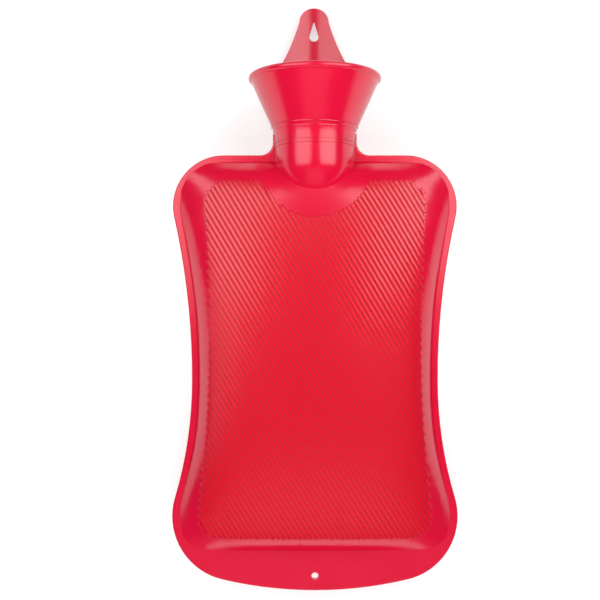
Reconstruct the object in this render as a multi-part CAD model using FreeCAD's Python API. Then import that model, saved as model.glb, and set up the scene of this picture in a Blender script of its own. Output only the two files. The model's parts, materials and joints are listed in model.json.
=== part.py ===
import FreeCAD, Part
import math
import os

# A rubber hot water bottle, in millimetres. While it is built, Y runs from the tail to the neck,
# X across and Z out of the front panel, and Z = 0 is the plane in which the mould parts.
# At the end the whole bottle is laid down on its back on the plane Z = 0.

V = FreeCAD.Vector
X_AXIS, Y_AXIS, Z_AXIS = V(1, 0, 0), V(0, 1, 0), V(0, 0, 1)

# Plan of the bottle
base_width = 176.2
waist_draw = 12.05
shoulder_draw = 0.1
base_height = 45.6
waist_height = 129.3
shoulder_height = 237.1
tail_sag = 5.6
shoulder_corner = 31.6
tail_length = 24.0

# Edge flange that runs all round the chamber
flange_width = 3.5
flange_thickness = 4.0
flange_round = 1.2
rim_tolerance = 0.001

# Chamber
crown = 23.0
wall = 2.0
side_power = 2.6
end_power = 4.0
edge_softness = 0.6
panel_lap = 0.6
panel_columns = 20
panel_rows = 28

# Slanting ribs on the front panel, and the margins of the field they fill
rib_pitch = 2.8
rib_foot_width = 1.9
rib_crest_width = 1.0
rib_height = 0.8
rib_lean = 59.0
rib_shortest = 4.0
rib_span = 12.0
rib_tolerance = 0.01
field_base_margin = 15.1
field_waist_margin = 10.5
field_shoulder_margin = 19.0
field_low_gap = 9.0
field_top_gap = 16.7
field_dome_gap = 9.7
field_corner = 15.0

# Neck, its dome in the shoulder and its two bands
neck_radius = 24.8
neck_length = 13.2
neck_seam = 1.2
neck_fillet = 8.0
dome_sink = 4.7
dome_wall = 2.5
band_ridge_width = 0.9
band_ridge_height = 0.5
band_ridge_spacing = 2.4
lower_band_height = 6.0
upper_band_height = 16.1

# Funnel and its rim bead
funnel_height = 34.3
funnel_wall = 2.6
funnel_floor = 8.0
funnel_blend = 24.0
mouth_radius = 41.3
bead_radius = 2.1

# Hanger tab behind the rim and its teardrop eye
hanger_length = 55.7
hanger_thickness = 3.0
hanger_tip_radius = 9.7
hanger_root_width = 62.0
hanger_waist_width = 27.4
hanger_waist_drop = 21.7
eye_radius = 3.0
eye_length = 13.8
eye_drop = 8.2

# Hole in the tail
tail_hole_radius = 2.15
tail_hole_height = 9.0

# Threaded bush moulded into the neck
bush_bore_radius = 14.5
bush_wall = 2.2
bush_length = 22.0
bush_rib_height = 1.2
bush_rib_width = 1.6
bush_rib_count = 3
bush_flange_radius = 19.2
bush_flange_thickness = 1.5
bush_seat_height = 15.3

# Stopper and its washer
thread_clearance = 0.1
plug_length = 18.0
plug_wall = 2.6
stopper_flange_radius = 17.5
stopper_flange_thickness = 3.0
grip_width = 31.0
grip_height = 19.0
grip_thickness = 8.0
grip_corner = 9.0
grip_dish_radius = 26.0
grip_dish_depth = 1.6
washer_thickness = 2.2
washer_width = 3.3
seat_clearance = 0.05

# How the bottle lies
rest_flat_depth = 1.5
rim_floor_gap = 0.2

# Sizes that follow
shoulder_width = base_width - 2 * shoulder_draw
waist_width = (base_width + shoulder_width) / 2 - 2 * waist_draw
base_corner = base_height - tail_sag
base_centre = V(base_width / 2 - base_corner, base_height, 0)
shoulder_centre = V(shoulder_width / 2 - shoulder_corner, shoulder_height, 0)
shoulder_top = shoulder_height + shoulder_corner
funnel_start = shoulder_top + neck_length
rim_height = funnel_start + funnel_height
rim_centre_radius = mouth_radius - bead_radius
funnel_slope = (rim_centre_radius + funnel_wall / 2 - neck_radius) / funnel_height
seat_height = shoulder_top + bush_seat_height
bush_radius = bush_bore_radius + bush_wall
dome_height = shoulder_top - dome_sink
field_low = tail_length + field_low_gap
field_top = shoulder_top - field_top_gap
rib_run = V(math.cos(math.radians(rib_lean)), -math.sin(math.radians(rib_lean)), 0)
rib_side = Z_AXIS.cross(rib_run)


def waist_radius(corner_centre, corner_radius, corner_width):
    """Radius of the waist arc that touches the corner arc from outside."""
    across = waist_width / 2 - corner_centre.x
    along = corner_centre.y - waist_height
    gain = corner_width / 2 - waist_width / 2
    return (across ** 2 + along ** 2 - corner_radius ** 2) / (2 * gain)


upper_waist_radius = waist_radius(shoulder_centre, shoulder_corner, shoulder_width)
lower_waist_radius = waist_radius(base_centre, base_corner, base_width)
upper_waist_centre = V(waist_width / 2 + upper_waist_radius, waist_height, 0)
lower_waist_centre = V(waist_width / 2 + lower_waist_radius, waist_height, 0)
upper_turn = math.atan2(waist_height - shoulder_height, upper_waist_centre.x - shoulder_centre.x)
lower_turn = math.atan2(waist_height - base_height, lower_waist_centre.x - base_centre.x)
bottom_radius = (base_centre.Length ** 2 - base_corner ** 2) / (2 * tail_sag)


def arc(centre, radius, start, end):
    return Part.ArcOfCircle(Part.Circle(centre, Z_AXIS, radius), start, end).toShape()


def line(start, end):
    return Part.makeLine(start, end)


def mirrored_wire(edges):
    """Closed outline from the edges of its right half."""
    left = [edge.mirror(V(0, 0, 0), X_AXIS) for edge in edges]
    return Part.Wire(Part.__sortEdges__(edges + left))


def prism(wire, low, high):
    return Part.Face(wire).translated(V(0, 0, low)).extrude(V(0, 0, high - low))


def revolved(edges):
    """Solid turned about Y from the edges of its half section."""
    face = Part.Face(Part.Wire(Part.__sortEdges__(edges)))
    return face.revolve(V(0, 0, 0), Y_AXIS, 360)


def ring(inner, outer, low, high):
    """Plain ring about Y, or a disc where the inner radius is nought."""
    shape = Part.makeCylinder(outer, high - low, V(0, low, 0), Y_AXIS)
    if inner > 0:
        shape = shape.cut(Part.makeCylinder(inner, high - low, V(0, low, 0), Y_AXIS))
    return shape


def side_edges(inset):
    """Right side of the plan, from the base's widest point to the top of the shoulder."""
    half_turn = math.pi
    return [
        arc(base_centre, base_corner - inset, 0, lower_turn),
        arc(lower_waist_centre, lower_waist_radius + inset, half_turn, half_turn + lower_turn),
        arc(upper_waist_centre, upper_waist_radius + inset, half_turn + upper_turn, half_turn),
        arc(shoulder_centre, shoulder_corner - inset, upper_turn, half_turn / 2),
    ]


def flange_outline():
    """Plan of the whole moulding at its parting plane, up the sides of the neck."""
    low_turn = math.atan2(base_height - bottom_radius, base_centre.x)
    neck_side = neck_radius + neck_seam
    fillet_centre = V(neck_side + neck_fillet, shoulder_top + neck_fillet, 0)
    edges = side_edges(0)
    edges.append(arc(V(0, bottom_radius, 0), bottom_radius, -math.pi / 2, low_turn))
    edges.append(arc(base_centre, base_corner, low_turn, 0))
    edges.append(line(V(shoulder_centre.x, shoulder_top, 0), V(fillet_centre.x, shoulder_top, 0)))
    edges.append(arc(fillet_centre, neck_fillet, math.pi, math.pi * 1.5))
    edges.append(line(V(neck_side, fillet_centre.y, 0), V(neck_side, funnel_start, 0)))
    edges.append(line(V(neck_side, funnel_start, 0), V(0, funnel_start, 0)))
    return mirrored_wire(edges)


def chamber_outline(inset):
    """Plan of the chamber, set in from the edge, with its own straight lower end."""
    corner = base_height - tail_length + flange_width - inset
    low = base_height - corner
    right = base_width / 2 - inset
    top = shoulder_top - inset
    edges = side_edges(inset)
    edges.append(arc(V(right - corner, base_height, 0), corner, -math.pi / 2, 0))
    edges.append(line(V(right - corner, low, 0), V(0, low, 0)))
    edges.append(line(V(shoulder_centre.x, top, 0), V(0, top, 0)))
    return mirrored_wire(edges)


def half_width(y):
    """Half width of the plan at height y, without its corners."""
    if y >= shoulder_height:
        return shoulder_width / 2
    if y <= base_height:
        return base_width / 2
    if y >= shoulder_centre.y + shoulder_corner * math.sin(upper_turn):
        return shoulder_centre.x + math.sqrt(shoulder_corner ** 2 - (y - shoulder_height) ** 2)
    if y <= base_centre.y + base_corner * math.sin(lower_turn):
        return base_centre.x + math.sqrt(base_corner ** 2 - (y - base_height) ** 2)
    radius = upper_waist_radius if y > waist_height else lower_waist_radius
    return waist_width / 2 + radius - math.sqrt(radius ** 2 - (y - waist_height) ** 2)


def swell(x, y, inset):
    """Height of the panel over the parting plane: full in the middle, nought just past the edge."""
    low = tail_length + inset - flange_width - panel_lap
    high = shoulder_top - inset + panel_lap
    across = abs(x) / (half_width(y) - inset + panel_lap)
    along = abs(2 * y - high - low) / (high - low)
    rise = (1 - across ** side_power) * (1 - along ** end_power)
    softened = rise * (1 + edge_softness) / (max(rise, 0) + edge_softness)
    return (crown - inset + flange_width) * softened


def panel_surface(inset):
    """Domed surface of a panel whose parameters are X and Y, over a patch larger than the chamber."""
    reach = max(base_width, shoulder_width) / 2 - inset + panel_lap
    low = tail_length + inset - flange_width - panel_lap
    high = shoulder_top - inset + panel_lap
    column, row = 2 * reach / panel_columns, (high - low) / panel_rows
    heights = []
    for i in range(panel_columns + 1):
        heights.append([swell(i * column - reach, low + j * row, inset) for j in range(panel_rows + 1)])
    surface = Part.BSplineSurface()
    surface.interpolate(heights, -reach, column, low, row)
    return surface


def chamber(inset):
    """Closed pillow, its front and back alike, set in from the bottle's edge."""
    under = panel_surface(inset).toShape().extrude(V(0, 0, -3 * crown))
    blank = prism(chamber_outline(inset), -2 * crown, 2 * crown)
    return blank.common(under).common(under.mirror(V(0, 0, 0), Z_AXIS))


def edge_plate():
    """Flange and tail in one plate, with rounded edges."""
    plate = prism(flange_outline(), -flange_thickness / 2, flange_thickness / 2)
    rims = [edge for edge in plate.Edges if edge.BoundBox.ZLength < rim_tolerance]
    rims = [edge for edge in rims if edge.BoundBox.YMax < funnel_start - rim_tolerance]
    return plate.makeFillet(flange_round, rims)


def neck_and_funnel():
    """Outside of the neck from its dome in the shoulder to the funnel's mouth."""
    corner = V(neck_radius, funnel_start, 0)
    cone = V(math.sin(math.atan(funnel_slope)), math.cos(math.atan(funnel_slope)), 0)
    run = funnel_blend * math.tan(math.atan(funnel_slope) / 2)
    blend_low = corner - Y_AXIS * run
    blend_high = corner + cone * run
    blend_centre = blend_low + X_AXIS * funnel_blend
    middle_turn = math.pi - math.atan(funnel_slope) / 2
    middle = blend_centre + V(math.cos(middle_turn), math.sin(middle_turn), 0) * funnel_blend
    mouth = V(neck_radius + funnel_slope * funnel_height, rim_height, 0)
    dome_low = V(0, dome_height - neck_radius, 0)
    return revolved([
        arc(V(0, dome_height, 0), neck_radius, -math.pi / 2, 0),
        line(V(neck_radius, dome_height, 0), blend_low),
        Part.Arc(blend_low, middle, blend_high).toShape(),
        line(blend_high, mouth),
        line(mouth, V(0, rim_height, 0)),
        line(V(0, rim_height, 0), dome_low),
    ])


def outer_radius(y):
    """Outside radius of the neck or funnel at height y."""
    return neck_radius + funnel_slope * max(0, y - funnel_start)


def band(height):
    """Pair of fine ridges round the neck."""
    ridges = []
    for side in (-1, 1):
        y = shoulder_top + height + side * band_ridge_spacing / 2
        low, high = y - band_ridge_width / 2, y + band_ridge_width / 2
        crest = outer_radius(y) + band_ridge_height
        root = neck_radius - band_ridge_height
        slant = band_ridge_width / 4
        corners = [V(root, low, 0), V(crest, low + slant, 0), V(crest, high - slant, 0), V(root, high, 0)]
        edges = [line(corners[i], corners[(i + 1) % 4]) for i in range(4)]
        ridges.append(revolved(edges))
    return ridges


def funnel_inside():
    """Space inside the funnel, from the bush's seat to past the rim."""
    floor_top = seat_height + funnel_floor
    past = rim_height + 2 * bead_radius
    floor_edge = V(outer_radius(floor_top) - funnel_wall, floor_top, 0)
    mouth_edge = V(outer_radius(past) - funnel_wall, past, 0)
    corners = [V(0, seat_height, 0), V(bush_flange_radius, seat_height, 0), floor_edge, mouth_edge]
    corners.append(V(0, past, 0))
    return revolved([line(corners[i], corners[(i + 1) % 5]) for i in range(5)])


def rim_bead():
    """Bead round the mouth, half round outside and flat inside."""
    low = V(rim_centre_radius, rim_height - bead_radius, 0)
    nose = V(mouth_radius, rim_height, 0)
    high = V(rim_centre_radius, rim_height + bead_radius, 0)
    inner = rim_centre_radius - funnel_wall / 2
    corners = [high, V(inner, high.y, 0), V(inner, low.y, 0), low]
    edges = [line(corners[i], corners[i + 1]) for i in range(3)]
    return revolved(edges + [Part.Arc(low, nose, high).toShape()])


def hanger():
    """Curved tab that carries on from the back of the rim, with a teardrop eye."""
    tip_y = rim_height + hanger_length
    tip_centre = V(0, tip_y - hanger_tip_radius, 0)
    waist = V(hanger_waist_width / 2, tip_y - hanger_waist_drop, 0)
    root = V(hanger_root_width / 2, rim_height, 0)
    edges = [
        arc(tip_centre, hanger_tip_radius, 0, math.pi / 2),
        Part.Arc(tip_centre + X_AXIS * hanger_tip_radius, waist, root).toShape(),
        line(root, V(0, rim_height, 0)),
    ]
    blank = prism(mirrored_wire(edges), -2 * mouth_radius, 0)
    half = hanger_thickness / 2
    tube = ring(rim_centre_radius - half, rim_centre_radius + half, rim_height, tip_y)
    return blank.common(tube).cut(eye_prism())


def eye_prism():
    """Teardrop with its point towards the tip of the hanger."""
    point = V(0, rim_height + hanger_length - eye_drop, 0)
    centre = point - Y_AXIS * (eye_length - eye_radius)
    lean = math.asin(eye_radius / (eye_length - eye_radius))
    touch = centre + V(math.cos(lean), math.sin(lean), 0) * eye_radius
    edges = [arc(centre, eye_radius, -math.pi / 2, lean), line(touch, point)]
    return prism(mirrored_wire(edges), -2 * mouth_radius, 0)


def cavity():
    """Water space: the pillow inside the walls and the hollow of the neck's dome."""
    bush_low = seat_height - bush_length
    dome = Part.makeSphere(neck_radius - dome_wall, V(0, dome_height, 0))
    dome = dome.common(ring(0, neck_radius, 0, bush_low))
    return chamber(flange_width + wall).fuse(dome).cut(below_floor(wall))


def bush_blank():
    """Outside of the threaded bush, with the ribs that hold it in the rubber."""
    low = seat_height - bush_length
    shape = ring(0, bush_radius, low, seat_height)
    shape = shape.fuse(ring(0, bush_flange_radius, seat_height - bush_flange_thickness, seat_height))
    pitch = (bush_length - bush_flange_thickness) / bush_rib_count
    for i in range(bush_rib_count):
        middle = low + pitch * (i + 0.5)
        rib = ring(0, bush_radius + bush_rib_height, middle - bush_rib_width / 2, middle + bush_rib_width / 2)
        shape = shape.fuse(rib)
    return shape.removeSplitter()


def field_half_width(y):
    """Half width of the ribbed field at height y, a parabola through its base, waist and shoulder."""
    heights = [field_low, waist_height, field_top]
    widths = [
        base_width / 2 - field_base_margin,
        waist_width / 2 - field_waist_margin,
        shoulder_width / 2 - field_shoulder_margin,
    ]
    total = 0
    for height, width in zip(heights, widths):
        others = [other for other in heights if other != height]
        total += width * math.prod((y - other) / (height - other) for other in others)
    return total


def in_field(point):
    """Whether the ribs reach a point of the plan: inside the field and clear of the neck's dome."""
    past_side = abs(point.x) - field_half_width(point.y) + field_corner
    past_end = max(field_low - point.y, point.y - field_top) + field_corner
    if max(past_side, past_end) > field_corner:
        return False
    if min(past_side, past_end) > 0 and math.hypot(past_side, past_end) > field_corner:
        return False
    return math.hypot(point.x, point.y - dome_height) > neck_radius + field_dome_gap


def rib_stretches(offset):
    """Start and end of each rib on the line that lies offset from the middle of the field."""
    centre = V(0, (field_low + field_top) / 2, 0) + rib_side * offset
    steps = math.ceil(4 * (field_top - field_low) / rib_crest_width)
    points = [centre + rib_run * (i - steps / 2) * rib_crest_width / 2 for i in range(steps)]
    stretches = []
    start = None
    for last, point in zip(points, points[1:]):
        if in_field(point) and start is None:
            start = point
        if start is not None and not in_field(point):
            if (last - start).Length > rib_shortest:
                stretches.append((start, last))
            start = None
    return stretches


def edge_on(surface, start, end):
    """Edge on a panel surface, straight in plan between two points of it."""
    spans = math.ceil((end - start).Length / rib_span)
    steps = [start + (end - start) * i / spans for i in range(spans + 1)]
    points = [surface.value(step.x, step.y) for step in steps]
    if spans == 1:
        return line(*points)
    curve = Part.BSplineCurve()
    curve.interpolate(points)
    return curve.toShape()


def bar_outline(surface, stretch, width, draft):
    """Closed wire on a panel surface round a bar of the given width, shortened by the draft."""
    start, end = stretch[0] + rib_run * draft, stretch[1] - rib_run * draft
    half = rib_side * width / 2
    corners = [start + half, end + half, end - half, start - half]
    return Part.Wire([edge_on(surface, corners[i], corners[(i + 1) % 4]) for i in range(4)])


def ribbed(solid):
    """The solid with slanting drafted ribs on its front panel, which is its largest face."""
    panel = max(solid.Faces, key=lambda face: face.Area)
    low = panel.Surface
    high = panel.Surface
    high.translate(V(0, 0, rib_height))
    draft = (rib_foot_width - rib_crest_width) / 2
    reach = math.ceil(math.hypot(field_top - field_low, shoulder_width) / 2 / rib_pitch)
    feet, ribs = [], []
    for i in range(-reach, reach + 1):
        for stretch in rib_stretches(i * rib_pitch):
            foot = bar_outline(low, stretch, rib_foot_width, 0)
            crest = bar_outline(high, stretch, rib_crest_width, draft)
            for edge in foot.Edges:
                Part.ShapeFix.Edge().fixAddPCurve(edge, panel, False, rib_tolerance)
            feet.append(foot)
            ribs += Part.makeLoft([foot, crest], False, True).Faces
            ribs.append(Part.makeRuledSurface(crest.Edges[0], crest.Edges[2]))
    between = Part.Face(panel)
    between.cutHoles(feet)
    others = [face for face in solid.Faces if not face.isSame(panel)]
    shell = Part.Shell(others + [between] + ribs)
    shell.sewShape()
    return Part.Solid(shell.Shells[0])


def bottle_body():
    """The whole rubber moulding."""
    outside = edge_plate().fuse([chamber(flange_width), neck_and_funnel()])
    outside = outside.fuse(band(lower_band_height) + band(upper_band_height)).cut(below_floor(0))
    shell = outside.cut([cavity(), bush_blank(), funnel_inside()])
    low = V(0, tail_hole_height, -flange_thickness / 2)
    tail_hole = Part.makeCylinder(tail_hole_radius, flange_thickness, low)
    plain = shell.fuse([rim_bead(), hanger()]).cut(tail_hole).removeSplitter()
    return ribbed(plain.Solids[0])


def neck_bush():
    return bush_blank().cut(ring(0, bush_bore_radius, seat_height - bush_length, seat_height))


def stopper_washer():
    low = seat_height + seat_clearance
    inner = bush_bore_radius
    return ring(inner, inner + washer_width, low, low + washer_thickness)


def stopper():
    """Hollow screw plug with a flange and a flat grip, dished on both sides."""
    plug_radius = bush_bore_radius - thread_clearance
    low = seat_height + washer_thickness + 2 * seat_clearance
    top = low + stopper_flange_thickness
    shape = ring(0, plug_radius, low - plug_length, low)
    shape = shape.fuse(ring(0, stopper_flange_radius, low, top))
    shape = shape.cut(ring(0, plug_radius - plug_wall, low - plug_length, low))
    corner = V(grip_width / 2 - grip_corner, top + grip_height - grip_corner, 0)
    edges = [
        line(V(0, low, 0), V(grip_width / 2, low, 0)),
        line(V(grip_width / 2, low, 0), V(grip_width / 2, corner.y, 0)),
        arc(corner, grip_corner, 0, math.pi / 2),
        line(V(corner.x, top + grip_height, 0), V(0, top + grip_height, 0)),
    ]
    grip = prism(mirrored_wire(edges), -grip_thickness / 2, grip_thickness / 2)
    for side in (-1, 1):
        centre_z = side * (grip_thickness / 2 - grip_dish_depth + grip_dish_radius)
        dish = Part.makeSphere(grip_dish_radius, V(0, top + grip_height / 2, centre_z))
        grip = grip.cut(dish)
    return shape.fuse(grip).removeSplitter()


def lowest(angle, points):
    return min(y * math.sin(angle) + z * math.cos(angle) for y, z in points)


def lie_angle():
    """Tilt at which the rim's bead just clears the floor and the back is pressed flat on it."""
    steps = 200
    length = shoulder_top - flange_width - tail_length
    heights = [tail_length + length * i / steps for i in range(steps + 1)]
    back = [(y, -swell(0, y, flange_width)) for y in heights]
    low_angle, high_angle = 0.0, math.pi / 4
    for _ in range(40):
        angle = (low_angle + high_angle) / 2
        rim = lowest(angle, [(rim_height, -rim_centre_radius)]) - bead_radius
        if rim - lowest(angle, back) < rim_floor_gap + rest_flat_depth:
            low_angle = angle
        else:
            high_angle = angle
    return angle


lying_angle = lie_angle()
floor_level = lowest(lying_angle, [(rim_height, -rim_centre_radius)]) - bead_radius - rim_floor_gap


def below_floor(lift):
    """All that lies under a plane set above the floor by lift, in the bottle's own frame."""
    reach = 2 * rim_height
    block = Part.makeBox(2 * reach, 2 * reach, reach, V(-reach, -reach, floor_level + lift - reach))
    block.rotate(V(0, 0, 0), X_AXIS, -math.degrees(lying_angle))
    return block


def laid_down(shape, middle):
    """Turns a shape to the way it lies, on Z = 0 and with the middle of the length at Y = 0."""
    turned = shape.copy()
    turned.rotate(V(0, 0, 0), X_AXIS, math.degrees(lying_angle))
    turned.translate(V(0, -middle, -floor_level))
    return turned


def middle_of_length():
    """Middle of the laid bottle's length, from its tail to the tip of its hanger."""
    tip = V(0, rim_height + hanger_length, -rim_centre_radius - hanger_thickness / 2)
    tail = V(0, 0, flange_thickness / 2 - flange_round)
    ends = [point.y * math.cos(lying_angle) - point.z * math.sin(lying_angle) for point in (tip, tail)]
    return sum(ends) / 2


pieces = {
    "bottle_body": bottle_body(),
    "neck_bush": neck_bush(),
    "stopper_washer": stopper_washer(),
    "stopper": stopper(),
}
middle = middle_of_length()
os.makedirs("parts", exist_ok=True)
for name, piece in pieces.items():
    laid_down(piece, middle).exportStep("parts/" + name + ".step")
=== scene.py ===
import json
import math

import bpy
from mathutils import Matrix, Vector


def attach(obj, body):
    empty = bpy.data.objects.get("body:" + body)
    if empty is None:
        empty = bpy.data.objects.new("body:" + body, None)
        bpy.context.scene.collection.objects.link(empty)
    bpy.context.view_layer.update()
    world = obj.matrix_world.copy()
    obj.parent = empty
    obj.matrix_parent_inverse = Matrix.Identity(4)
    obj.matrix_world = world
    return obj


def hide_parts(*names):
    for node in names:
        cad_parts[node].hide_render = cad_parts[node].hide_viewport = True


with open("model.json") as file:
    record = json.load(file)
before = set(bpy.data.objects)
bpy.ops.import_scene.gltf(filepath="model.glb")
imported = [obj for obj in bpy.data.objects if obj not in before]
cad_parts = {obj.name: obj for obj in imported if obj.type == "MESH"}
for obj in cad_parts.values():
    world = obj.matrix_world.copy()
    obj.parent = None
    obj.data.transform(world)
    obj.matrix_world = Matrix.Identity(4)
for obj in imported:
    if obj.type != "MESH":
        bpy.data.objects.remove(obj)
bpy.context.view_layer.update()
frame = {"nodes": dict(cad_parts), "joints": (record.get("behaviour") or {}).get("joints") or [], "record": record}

# Rubber moulding
# One moulding of soft red rubber, vulcanised in a two-part mould: chamber, flange, neck, funnel
# and hanger. The mould's polish gives it a wet shine, and its colour varies a little in depth. The
# slanting ribs of the front panel are rounded, with a narrow groove between them. The ribbed field
# is painted a lighter red as painted light on the ribs, and the grooves a darker red as painted shade.
rubber_red = (0.76, 0.004, 0.044, 1)
rubber_deep_red = (0.71, 0.0, 0.030, 1)
# Painted light: the ribbed field is painted lighter than the smooth rubber, as lit rib crests.
rib_painted_light_red = (0.89, 0.0, 0.028, 1)
# Painted shade: the darker red of the rib grooves, which stands in for the shade between the ribs.
groove_painted_shade_red = (0.61, 0.0, 0.008, 1)
rubber_shine = 0.8
rubber_roughness = 0.18
rubber_roughness_range = 0.06
groove_added_roughness = 0.55
rubber_noise_detail = 3
blotch_scale = 38
grain_scale = 900
grain_depth = 0.00003

rib_pitch = 0.0028
rib_lean = math.radians(59)
rib_crest = 0.0005
rib_foot = 0.00095
rib_roundness = 80
rib_easing = 3.0
groove_blend = 0.0002
groove_inset = 0.001

# The half widths of the ribbed field go with heights above its middle: its foot, waist and top.
field_below_seat = 0.1415
field_length = 0.219
field_waist = -0.0132
field_half_widths = {-field_length / 2: 0.0730, field_waist: 0.0655, field_length / 2: 0.0690}
field_corner = 0.015
dome_above_field_middle = 0.1215
dome_clearance = 0.0355
front_level = 0.002

turn_joint = next(joint for joint in frame["joints"] if joint["name"] == "stopper_turn")
seat = Vector(turn_joint["pos_m"])
along = Vector(turn_joint["axis"])
across = Vector((1, 0, 0))
outward = across.cross(along)


class Socket:
    """An output socket that adds Math nodes when it is used in an expression."""

    def __init__(self, shader, output):
        self.shader, self.output = shader, output

    def calculate(self, operation, *values):
        return self.shader.node("ShaderNodeMath", {"operation": operation}, dict(enumerate(values)))

    def __add__(self, other):
        return self.calculate("ADD", self, other)

    def __radd__(self, other):
        return self.calculate("ADD", other, self)

    def __sub__(self, other):
        return self.calculate("SUBTRACT", self, other)

    def __rsub__(self, other):
        return self.calculate("SUBTRACT", other, self)

    def __mul__(self, other):
        return self.calculate("MULTIPLY", self, other)

    def __rmul__(self, other):
        return self.calculate("MULTIPLY", other, self)

    def __abs__(self):
        return self.calculate("ABSOLUTE", self)

    def at_least(self, other):
        return self.calculate("MAXIMUM", self, other)

    def at_most(self, other):
        return self.calculate("MINIMUM", self, other)

    def root(self):
        return self.calculate("SQRT", self)

    def to_nearest(self, pitch):
        """How far the value is from the nearest whole number of pitches."""
        return self.calculate("PINGPONG", self, pitch / 2)

    def step_up(self, low, high):
        """Runs smoothly from 0 to 1 as the value goes from low to high."""
        return self.shader.node("ShaderNodeMapRange", {"interpolation_type": "SMOOTHSTEP"},
                                {"Value": self, "From Min": low, "From Max": high})


class Shader:
    """The node tree of a material or of the room."""

    def __init__(self, tree):
        self.tree = tree

    def node(self, kind, settings=None, sockets=None, out=0):
        """Adds a node: its type, its settings, then the values or links of its sockets."""
        made = self.tree.nodes.new(kind)
        for key, value in (settings or {}).items():
            setattr(made, key, value)
        for key, value in (sockets or {}).items():
            self.feed(made.inputs[key], value)
        return Socket(self, made.outputs[out])

    def feed(self, socket, value):
        """Links a socket to another one's output, or sets its value."""
        if isinstance(value, Socket):
            self.tree.links.new(value.output, socket)
        else:
            socket.default_value = value


class Finish(Shader):
    """A material whose patterns are placed by Object coordinates."""

    def __init__(self, name, **settings):
        self.material = bpy.data.materials.new(name)
        self.material.use_nodes = True
        super().__init__(self.material.node_tree)
        self.surface = self.tree.nodes["Principled BSDF"]
        self.place = self.node("ShaderNodeTexCoord", out="Object")
        self.set(**settings)

    def set(self, **values):
        for key, value in values.items():
            self.feed(self.surface.inputs[key.replace("_", " ")], value)

    def noise(self, scale, detail=2):
        sockets = {"Vector": self.place, "Scale": scale, "Detail": detail}
        return self.node("ShaderNodeTexNoise", None, sockets)

    def distance(self, point, direction):
        """How far the surface lies from a point along a direction."""
        sockets = {0: self.place, 1: direction}
        reach = self.node("ShaderNodeVectorMath", {"operation": "DOT_PRODUCT"}, sockets, "Value")
        return reach - point.dot(direction)

    def mix(self, factor, first, second):
        """Blends two colours, which are the node's inputs 6 and 7 and its output 2."""
        sockets = {"Factor": factor, 6: first, 7: second}
        return self.node("ShaderNodeMix", {"data_type": "RGBA"}, sockets, out=2)

    def bump(self, height, depth=1):
        """Relief from a height in metres, or from a pattern that is so many metres deep."""
        return self.node("ShaderNodeBump", None, {"Height": height, "Distance": depth})

    def dress(self, piece):
        piece.data.materials.clear()
        piece.data.materials.append(self.material)


def field_half_width(upward):
    """Parabola through the half widths that are given at three heights."""
    half_width = 0
    for height, width in field_half_widths.items():
        others = [other for other in field_half_widths if other != height]
        share = width / math.prod(height - other for other in others)
        for other in others:
            share = (upward - other) * share
        half_width = share + half_width
    return half_width


def ribbed_field(finish, middle):
    """1 where the front panel is ribbed and 0 on the smooth rubber round it."""
    sideways = finish.distance(middle, across)
    upward = finish.distance(middle, along)
    rounding = field_corner + groove_inset
    past_side = (abs(sideways) - field_half_width(upward) + rounding).at_least(0)
    past_end = (abs(upward) + (rounding - field_length / 2)).at_least(0)
    past_edge = (past_side * past_side + past_end * past_end).root()
    above_dome = upward - dome_above_field_middle
    from_dome = (sideways * sideways + above_dome * above_dome).root()
    in_front = finish.distance(middle, outward)
    return (past_edge.step_up(field_corner, field_corner - groove_blend)
            * from_dome.step_up(dome_clearance, dome_clearance + groove_blend)
            * in_front.step_up(front_level, front_level + groove_blend))


rubber = Finish("red_rubber", Specular_IOR_Level=rubber_shine)
field_middle = seat - along * field_below_seat
field = ribbed_field(rubber, field_middle)
rib_side = across * math.sin(rib_lean) + along * math.cos(rib_lean)
from_crest = rubber.distance(field_middle, rib_side).to_nearest(rib_pitch)
# Mask of the rib grooves, where painted shade darkens the red and the rubber is rougher.
groove_shade_mask = field * from_crest.step_up(rib_foot - groove_blend, rib_foot)
on_crest = from_crest.at_most(rib_crest)
down_side = (from_crest - rib_crest).at_least(0).at_most(rib_foot - rib_crest)
rib_relief = field * (down_side * rib_easing - on_crest * on_crest * rib_roundness)

blotches = rubber.noise(blotch_scale, rubber_noise_detail)
grain = rubber.noise(grain_scale, rubber_noise_detail)
smooth_red = rubber.mix(blotches, rubber_deep_red, rubber_red)
# Painted light: the ribbed field takes the lighter red.
ribbed_painted_light_red = rubber.mix(field, smooth_red, rib_painted_light_red)
smooth_roughness = blotches * rubber_roughness_range + rubber_roughness
# The grooves take the painted shade red over the ribbed field.
rubber.set(Base_Color=rubber.mix(groove_shade_mask, ribbed_painted_light_red, groove_painted_shade_red),
           Roughness=smooth_roughness + groove_shade_mask * groove_added_roughness,
           Normal=rubber.bump(grain * grain_depth + rib_relief))
rubber.dress(frame["nodes"]["bottle_body"])

# Threaded bush
# A turned brass bush, moulded into the neck, with three ribs that hold it in the rubber and a
# coarse thread inside for the stopper.
thread_pitch = 0.004
bush_bore_radius = 0.0145
bush_outer_radius = 0.0167
bush_rib_radius = 0.0179
bush_rib_width = 0.0016
bush_rib_count = 3
bush_flange_radius = 0.0192
bush_flange_thickness = 0.0015
bush_length = 0.022
bush_thread_depth = 0.0012
bush_ridge_width = 0.0011
bush_ridge_slope = 0.0007
bore_overrun = 0.001
spare_turns = 2
lathe_steps = 72
weld_distance = 0.00001
crease_angle = math.radians(32)
brass_colour = (0.72, 0.50, 0.19, 1)
brass_grain = dict(scale=420, roughness=0.22, roughness_range=0.15, depth=0.00002)


def upright_frame(point, right, up):
    """Matrix that takes X to right and Z to up, with its origin at the point."""
    back = up.cross(right)
    return Matrix.Translation(point) @ Matrix((right, back, up)).transposed().to_4x4()


def clear_bench():
    """Deselects everything, because an operator acts on all that is selected."""
    bpy.ops.object.select_all(action="DESELECT")


def pick_up(piece):
    """Makes a piece the active one and the only one selected."""
    clear_bench()
    bpy.context.view_layer.objects.active = piece
    piece.select_set(True)


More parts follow.
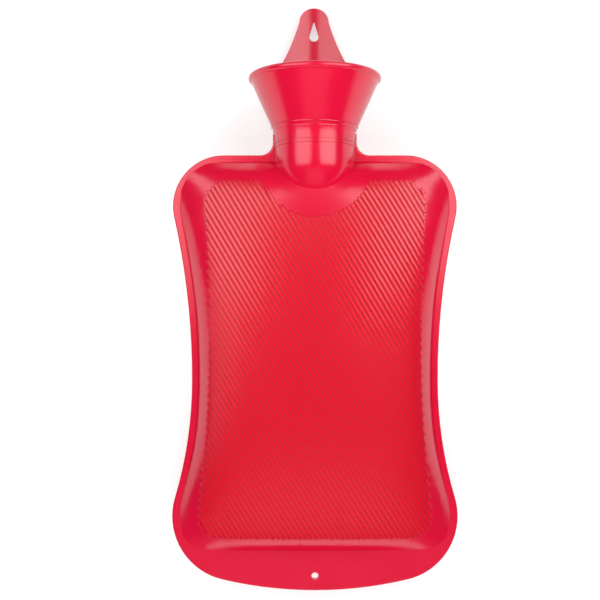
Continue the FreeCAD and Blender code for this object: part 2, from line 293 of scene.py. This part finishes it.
def drawn_profile(name, start, steps):
    """Open line drawn from a point, one extrusion for each step."""
    clear_bench()
    bpy.ops.mesh.primitive_plane_add(location=start, enter_editmode=True)
    bpy.ops.mesh.merge(type="CENTER")
    for x, z in steps:
        bpy.ops.mesh.extrude_region_move(TRANSFORM_OT_translate={"value": (x, 0, z)})
    bpy.ops.object.mode_set(mode="OBJECT")
    bpy.ops.object.transform_apply(location=True, rotation=True, scale=True)
    bpy.context.object.name = name


def finish_modifier(kind, **settings):
    """Adds a modifier to the active object and applies it."""
    bpy.ops.object.modifier_add(type=kind)
    modifier = bpy.context.object.modifiers[-1]
    for key, value in settings.items():
        setattr(modifier, key, value)
    bpy.ops.object.modifier_apply(modifier=modifier.name)


def spin_profile(rise=0):
    """Turns the drawn line about Z, level or rising by so much a turn."""
    finish_modifier("SCREW", steps=lathe_steps, render_steps=lathe_steps, screw_offset=rise,
                    use_merge_vertices=True, merge_threshold=weld_distance)


def clean_shell():
    """Merges doubles and turns the faces of the active object outwards."""
    bpy.ops.object.mode_set(mode="EDIT")
    bpy.ops.mesh.select_all(action="SELECT")
    bpy.ops.mesh.remove_doubles(threshold=weld_distance)
    bpy.ops.mesh.normals_make_consistent(inside=False)
    bpy.ops.object.mode_set(mode="OBJECT")
    return bpy.context.object


def turned(name, start, steps):
    """Solid turned about Z from a half section that starts and ends on the axis."""
    drawn_profile(name, start, steps)
    spin_profile()
    return clean_shell()


def threaded_rod(name, root, depth, crest, slope, low, high):
    """Rod with a right-handed thread, cut off square at both ends."""
    root_width = thread_pitch - crest - 2 * slope
    turns = math.ceil((high - low) / thread_pitch) + spare_turns
    bottom = math.floor(low / thread_pitch - spare_turns / 2) * thread_pitch - root_width / 2
    steps = [(0, root_width), (depth, slope), (0, crest), (-depth, slope)] * turns
    drawn_profile(name, (root, 0, bottom), steps)
    spin_profile(thread_pitch)
    bpy.ops.object.mode_set(mode="EDIT")
    for height, clear_low in ((low, True), (high, False)):
        bpy.ops.mesh.select_all(action="SELECT")
        bpy.ops.mesh.bisect(plane_co=(0, 0, height), plane_no=(0, 0, 1), use_fill=True,
                            clear_inner=clear_low, clear_outer=not clear_low)
    bpy.ops.object.mode_set(mode="OBJECT")
    return clean_shell()


def shape_with(piece, tool, operation):
    """Joins the tool to a piece, or cuts it away, and removes the tool."""
    pick_up(piece)
    finish_modifier("BOOLEAN", object=tool, operation=operation, solver="EXACT")
    bpy.data.objects.remove(tool)


def place_in_neck(piece):
    """Moves a piece modelled upright at the origin to the bush's seat in the neck."""
    pick_up(piece)
    piece.matrix_world = upright_frame(seat, across, along)
    bpy.ops.object.transform_apply(location=True, rotation=True, scale=True)
    bpy.ops.object.shade_smooth_by_angle(angle=crease_angle)


def add_grain(finish, scale, roughness, roughness_range, depth):
    """Gives a finish a fine grain that shows in its polish and its relief."""
    marks = finish.noise(scale)
    finish.set(Roughness=marks * roughness_range + roughness, Normal=finish.bump(marks, depth))


bush_rib_pitch = (bush_length - bush_flange_thickness) / bush_rib_count
bush_rib_gap = (bush_rib_pitch - bush_rib_width) / 2
bush_rib_height = bush_rib_radius - bush_outer_radius
bush_rib = [(0, bush_rib_gap), (bush_rib_height, 0), (0, bush_rib_width), (-bush_rib_height, 0),
            (0, bush_rib_gap)]
bush_flange = [(bush_flange_radius - bush_outer_radius, 0), (0, bush_flange_thickness),
               (-bush_flange_radius, 0)]
bush_section = [(bush_outer_radius, 0)] + bush_rib * bush_rib_count + bush_flange
bush = turned("threaded_bush", (0, 0, -bush_length), bush_section)
bore_crest = thread_pitch - bush_ridge_width - 2 * bush_ridge_slope
bore = threaded_rod("bore_cutter", bush_bore_radius - bush_thread_depth, bush_thread_depth,
                    bore_crest, bush_ridge_slope, -bush_length - bore_overrun, bore_overrun)
shape_with(bush, bore, "DIFFERENCE")
place_in_neck(bush)

brass = Finish("turned_brass", Base_Color=brass_colour, Metallic=1.0)
add_grain(brass, **brass_grain)
brass.dress(bush)
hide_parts("neck_bush")
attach(bush, "bottle")

# Washer
# A flat ring of black rubber under the stopper's flange, pressed on the bush's seat when shut. It
# lies loose round the plug, so it comes out with the stopper.
washer_black = (0.018, 0.018, 0.018, 1)
washer_grain = dict(scale=600, roughness=0.5, roughness_range=0.2, depth=0.00003)

washer = Finish("black_rubber", Base_Color=washer_black)
add_grain(washer, **washer_grain)
washer.dress(frame["nodes"]["stopper_washer"])

# Stopper
# One moulding of hard red plastic: a hollow threaded plug, a flange that presses the washer, and a
# flat grip, dished on both faces for the thumb and finger.
stopper_foot = 0.0023
plug_length = 0.018
plug_root_radius = 0.0130
plug_thread_depth = 0.0013
plug_ridge_width = 0.0009
plug_ridge_slope = 0.0006
plug_hollow_radius = 0.0117
stopper_flange_radius = 0.0175
stopper_flange_thickness = 0.003
flange_rounding = 0.0008
grip_width = 0.031
grip_height = 0.019
grip_thickness = 0.008
grip_corner = 0.009
grip_corner_steps = 12
grip_rounding = 0.001
grip_rounding_steps = 3
grip_rounding_angle = math.radians(50)
dish_radius = 0.026
dish_depth = 0.0014
dish_segments = 96
dish_rings = 64
stopper_red = (0.62, 0.008, 0.022, 1)
stopper_coat = 0.1
plastic_grain = dict(scale=350, roughness=0.22, roughness_range=0.1, depth=0.00002)

stopper = threaded_rod("screw_stopper", plug_root_radius, plug_thread_depth, plug_ridge_width,
                       plug_ridge_slope, stopper_foot - plug_length, stopper_foot + flange_rounding)
flange_edge = stopper_flange_radius - flange_rounding
flange_section = [(flange_edge, 0), (flange_rounding, flange_rounding),
                  (0, stopper_flange_thickness - 2 * flange_rounding),
                  (-flange_rounding, flange_rounding), (-flange_edge, 0)]
shape_with(stopper, turned("stopper_flange", (0, 0, stopper_foot), flange_section), "UNION")

grip_foot = stopper_foot + stopper_flange_thickness / 2
grip_middle = stopper_foot + stopper_flange_thickness + grip_height / 2
grip_top = stopper_foot + stopper_flange_thickness + grip_height
clear_bench()
bpy.ops.mesh.primitive_cube_add(size=1, location=(0, 0, (grip_foot + grip_top) / 2),
                                scale=(grip_width, grip_thickness, grip_top - grip_foot))
bpy.ops.object.transform_apply(location=True, rotation=True, scale=True)
grip = bpy.context.object
bpy.ops.object.mode_set(mode="EDIT")
bpy.ops.mesh.select_mode(type="EDGE")
bpy.ops.mesh.select_all(action="DESELECT")
bpy.ops.object.mode_set(mode="OBJECT")
for edge in grip.data.edges:
    first, second = (grip.data.vertices[i].co for i in edge.vertices)
    edge.select = min(first.z, second.z) > grip_middle and abs(first.x - second.x) < grip_rounding
bpy.ops.object.mode_set(mode="EDIT")
bpy.ops.mesh.bevel(offset=grip_corner, segments=grip_corner_steps, affect="EDGES")
bpy.ops.object.mode_set(mode="OBJECT")
for side in (-1, 1):
    clear_bench()
    away = side * (grip_thickness / 2 - dish_depth + dish_radius)
    bpy.ops.mesh.primitive_uv_sphere_add(segments=dish_segments, ring_count=dish_rings,
                                         radius=dish_radius, location=(0, away, grip_middle))
    shape_with(grip, bpy.context.object, "DIFFERENCE")
pick_up(grip)
finish_modifier("BEVEL", width=grip_rounding, segments=grip_rounding_steps, limit_method="ANGLE",
                angle_limit=grip_rounding_angle)
shape_with(stopper, grip, "UNION")

hollow_middle = stopper_foot - plug_length / 2 - flange_rounding
clear_bench()
bpy.ops.mesh.primitive_cylinder_add(vertices=lathe_steps, radius=plug_hollow_radius,
                                    depth=plug_length, location=(0, 0, hollow_middle))
shape_with(stopper, bpy.context.object, "DIFFERENCE")
place_in_neck(stopper)

plastic = Finish("hard_red_plastic", Base_Color=stopper_red, Coat_Weight=stopper_coat)
add_grain(plastic, **plastic_grain)
plastic.dress(stopper)
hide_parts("stopper")
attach(stopper, "plug")

# Table
# A plain white table top, larger than any view of it. Its light grey paint takes the bottle's
# shadow. To the camera, in gloss and through glass it also glows, and more beyond the reach of the
# lamps, so that it looks white all over.
table_half_size = 6.0
table_paint = (0.55, 0.55, 0.55, 1)
table_roughness = 0.9
near_glow = (0.62, 0.62, 0.62, 1)
far_glow = (1.0, 1.0, 1.0, 1)
lamplight_fades = 0.3
lamplight_ends = 0.75


def seen_by(shader, kind):
    """1 for light rays of one kind and 0 for the rest."""
    return shader.node("ShaderNodeLightPath", out="Is " + kind + " Ray")


clear_bench()
bpy.ops.mesh.primitive_plane_add(size=2 * table_half_size)
table = bpy.context.object
table.name = "table_top"
paint = Finish("white_table", Base_Color=table_paint, Roughness=table_roughness)
from_middle = paint.node("ShaderNodeVectorMath", {"operation": "LENGTH"}, {0: paint.place}, "Value")
unlit = from_middle.step_up(lamplight_fades, lamplight_ends)
glow = seen_by(paint, "Camera") + seen_by(paint, "Glossy") + seen_by(paint, "Transmission")
paint.set(Emission_Color=paint.mix(unlit, near_glow, far_glow), Emission_Strength=glow)
paint.dress(table)

# Camera
# It looks almost squarely down on the front panel, near the bottle's middle, from about the
# distance that gives the rim and the neck bands the curve they have in the photo.
camera_distance = 0.645
camera_tilt = math.radians(1.0)
sensor_width_mm = 36
picture_width = 0.372
bottle_shift = 0.0092
tail_to_middle = 0.1789
tail_hole_height = 0.009

tail_mount = next(mount for mount in frame["record"]["mounts"] if mount["name"] == "tail_hole")
tail = Vector(tail_mount["pos_m"]) - along * tail_hole_height
target = tail + along * tail_to_middle - across * bottle_shift
view = outward * math.cos(camera_tilt) - along * math.sin(camera_tilt)
lens = bpy.data.cameras.new("camera")
lens.sensor_width = sensor_width_mm
lens.lens = sensor_width_mm * camera_distance / picture_width
camera = bpy.data.objects.new("camera", lens)
bpy.context.scene.collection.objects.link(camera)
camera.matrix_world = upright_frame(target + view * camera_distance, across, view)
bpy.context.scene.camera = camera

# Light
# Two soft boxes, left and right of the neck, make the upper half shine and leave the lower half
# deep red. A wide fill without gloss stands beyond the tail. The room lights dimly, and is white to
# the camera all over, and near the horizon in gloss and through glass.
soft_boxes = {
    "left": dict(angle=-33, reach=0.42, rise=0.19, width=0.36, length=0.42, radiance=2.3),
    "right": dict(angle=37, reach=0.42, rise=0.20, width=0.36, length=0.42, radiance=2.7),
    "fill": dict(angle=0, reach=0.75, rise=-0.72, width=1.0, length=1.0, radiance=2.9),
}
without_gloss = ["fill"]
room_level = 0.06
room_white = (1, 1, 1, 1)
horizon_foot = 0.03
horizon_top = 0.12

for name, box in soft_boxes.items():
    lamp = bpy.data.lights.new("soft_box_" + name, "AREA")
    lamp.shape, lamp.size, lamp.size_y = "RECTANGLE", box["width"], box["length"]
    lamp.energy = box["radiance"] * math.pi * box["width"] * box["length"]
    soft_box = bpy.data.objects.new("soft_box_" + name, lamp)
    bpy.context.scene.collection.objects.link(soft_box)
    soft_box.visible_glossy = name not in without_gloss
    swing = math.radians(box["angle"])
    level_way = outward * math.cos(swing) + across * math.sin(swing)
    way = level_way * box["reach"] + along * box["rise"]
    away = way.normalized()
    soft_box.matrix_world = upright_frame(target + way, along.cross(away).normalized(), away)

room = bpy.data.worlds.new("pale_room")
room.use_nodes = True
studio = Shader(room.node_tree)
direction = studio.node("ShaderNodeTexCoord", out="Generated")
height = studio.node("ShaderNodeSeparateXYZ", None, {"Vector": direction}, out="Z")
horizon = height.step_up(horizon_top, horizon_foot)
in_gloss = seen_by(studio, "Glossy") + seen_by(studio, "Transmission")
white_share = (seen_by(studio, "Camera") + in_gloss * horizon).at_most(1)
background = studio.tree.nodes["Background"]
studio.feed(background.inputs["Color"], room_white)
studio.feed(background.inputs["Strength"], white_share * (1 - room_level) + room_level)
bpy.context.scene.world = room
bpy.context.scene.view_settings.view_transform = "Standard"
